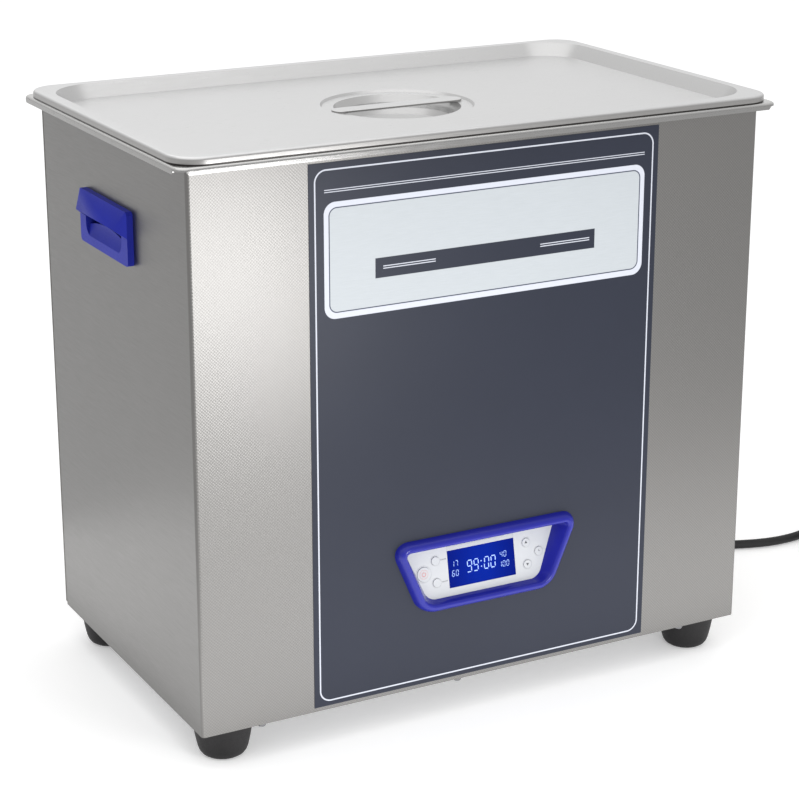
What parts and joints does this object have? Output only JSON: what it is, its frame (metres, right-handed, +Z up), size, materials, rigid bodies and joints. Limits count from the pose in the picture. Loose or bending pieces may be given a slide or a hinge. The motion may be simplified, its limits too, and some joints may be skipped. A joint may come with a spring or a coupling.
{
  "type": "ultrasonic cleaner",
  "caption": "Bench-top ultrasonic cleaner: a lidded stainless tank in a sheet-steel cabinet with blue carrying handles, a sunk control panel with keys, a drain valve and a mains lead.",
  "frame": {"origin": "on the floor under the middle of the cabinet", "axes": "+X to the right of someone facing the control panel, +Y to the rear, +Z up"},
  "size_m": [0.857, 0.4862, 0.4957],
  "materials": {
    "cabinet_steel": "satin stainless sheet, front embossed with a fine linen pattern",
    "rear_steel": "satin stainless sheet",
    "base_steel": "zinc-grey sheet",
    "bright_zinc": "bright plated steel",
    "foot_rubber": "matt black rubber",
    "tank_steel": "bright stainless sheet",
    "lid_steel": "bright satin stainless sheet",
    "overlay": "satin dark grey-blue film with white lines",
    "blue_plastic": "glossy deep blue",
    "white_plastic": "satin white",
    "display": "lit deep blue display under a clear window",
    "display_case": "dark grey",
    "board_green": "green circuit board",
    "horn_aluminium": "turned or extruded aluminium",
    "ceramic": "dark fired ceramic",
    "copper": "copper",
    "tail_steel": "turned steel",
    "silicone": "brick-red silicone",
    "sensor": "tan plastic",
    "valve_brass": "satin brass",
    "lever_red": "red dipped steel",
    "black_plastic": "black plastic",
    "capacitor": "dark blue sleeve",
    "lead_rubber": "satin black flexible plastic"
  },
  "bodies": {
    "cabinet": {"cabinet_wrap": "cabinet_steel", "rear_panel": "rear_steel", "base_plate": "base_steel", "cabinet_screws": "bright_zinc", "foot_front_left": "foot_rubber", "foot_front_right": "foot_rubber", "foot_rear_left": "foot_rubber", "foot_rear_right": "foot_rubber", "foot_screws": "bright_zinc", "foot_nuts": "bright_zinc", "tank": "tank_steel", "front_overlay": "overlay", "control_bezel": "blue_plastic", "control_fascia": "white_plastic", "display_window": "display", "display_module": "display_case", "control_board": "board_green", "control_screws": "bright_zinc", "handle_left": "blue_plastic", "handle_right": "blue_plastic", "transducer_horns": "horn_aluminium", "piezo_rings": "ceramic", "piezo_electrodes": "copper", "transducer_tails": "tail_steel", "transducer_bolts": "bright_zinc", "heater_pads": "silicone", "temperature_sensor": "sensor", "drain_spud": "bright_zinc", "drain_nut": "bright_zinc", "drain_elbow": "bright_zinc", "valve_body": "valve_brass", "hose_tail": "valve_brass", "fan_frame": "black_plastic", "fan_guard": "bright_zinc", "fan_screws": "bright_zinc", "mains_inlet": "black_plastic", "switch_frame": "black_plastic", "generator_board": "board_green", "board_spacers": "bright_zinc", "heat_sink": "horn_aluminium", "output_transformer": "copper", "filter_capacitors": "capacitor", "lead_connector": "lead_rubber", "mains_lead": "lead_rubber", "lead_coil": "lead_rubber", "cord_tie": "lead_rubber", "mains_plug": "lead_rubber"},
    "lid": {"lid": "lid_steel", "lid_grip": "lid_steel"},
    "fan_rotor": {"fan_rotor": "black_plastic"},
    "drain_valve": {"valve_ball": "bright_zinc", "valve_lever": "lever_red", "lever_nut": "bright_zinc"},
    "mains_rocker": {"switch_rocker": "black_plastic"},
    "key_power": {"key_power": "white_plastic"},
    "key_ultrasonic": {"key_ultrasonic": "white_plastic"},
    "key_heating": {"key_heating": "white_plastic"},
    "key_up": {"key_up": "white_plastic"},
    "key_down": {"key_down": "white_plastic"},
    "key_set": {"key_set": "white_plastic"}
  },
  "joints": [
    {"name": "lid_lift", "type": "slide", "parent": "cabinet", "child": "lid", "axis": [0, 0, 1], "range_m": [0, 0.3]},
    {"name": "key_power_press", "type": "slide", "parent": "cabinet", "child": "key_power", "axis": [0, 0.9833, -0.1822], "range_m": [0, 0.0004], "stiffness_N_per_m": 2000},
    {"name": "key_ultrasonic_press", "type": "slide", "parent": "cabinet", "child": "key_ultrasonic", "axis": [0, 0.9833, -0.1822], "range_m": [0, 0.0004], "stiffness_N_per_m": 2000},
    {"name": "key_heating_press", "type": "slide", "parent": "cabinet", "child": "key_heating", "axis": [0, 0.9833, -0.1822], "range_m": [0, 0.0004], "stiffness_N_per_m": 2000},
    {"name": "key_up_press", "type": "slide", "parent": "cabinet", "child": "key_up", "axis": [0, 0.9833, -0.1822], "range_m": [0, 0.0004], "stiffness_N_per_m": 2000},
    {"name": "key_down_press", "type": "slide", "parent": "cabinet", "child": "key_down", "axis": [0, 0.9833, -0.1822], "range_m": [0, 0.0004], "stiffness_N_per_m": 2000},
    {"name": "key_set_press", "type": "slide", "parent": "cabinet", "child": "key_set", "axis": [0, 0.9833, -0.1822], "range_m": [0, 0.0004], "stiffness_N_per_m": 2000},
    {"name": "fan_spin", "type": "hinge", "parent": "cabinet", "child": "fan_rotor", "pos_m": [-0.13, 0.14, 0.1232], "axis": [0, 1, 0], "continuous": true},
    {"name": "drain_valve_turn", "type": "hinge", "parent": "cabinet", "child": "drain_valve", "pos_m": [0.288, 0, 0.1652], "axis": [0, 0, -1], "range_deg": [0, 90]},
    {"name": "mains_rocker_tilt", "type": "hinge", "parent": "cabinet", "child": "mains_rocker", "pos_m": [0.098, 0.152, 0.0952], "axis": [1, 0, 0], "range_deg": [0, 16]}
  ]
}
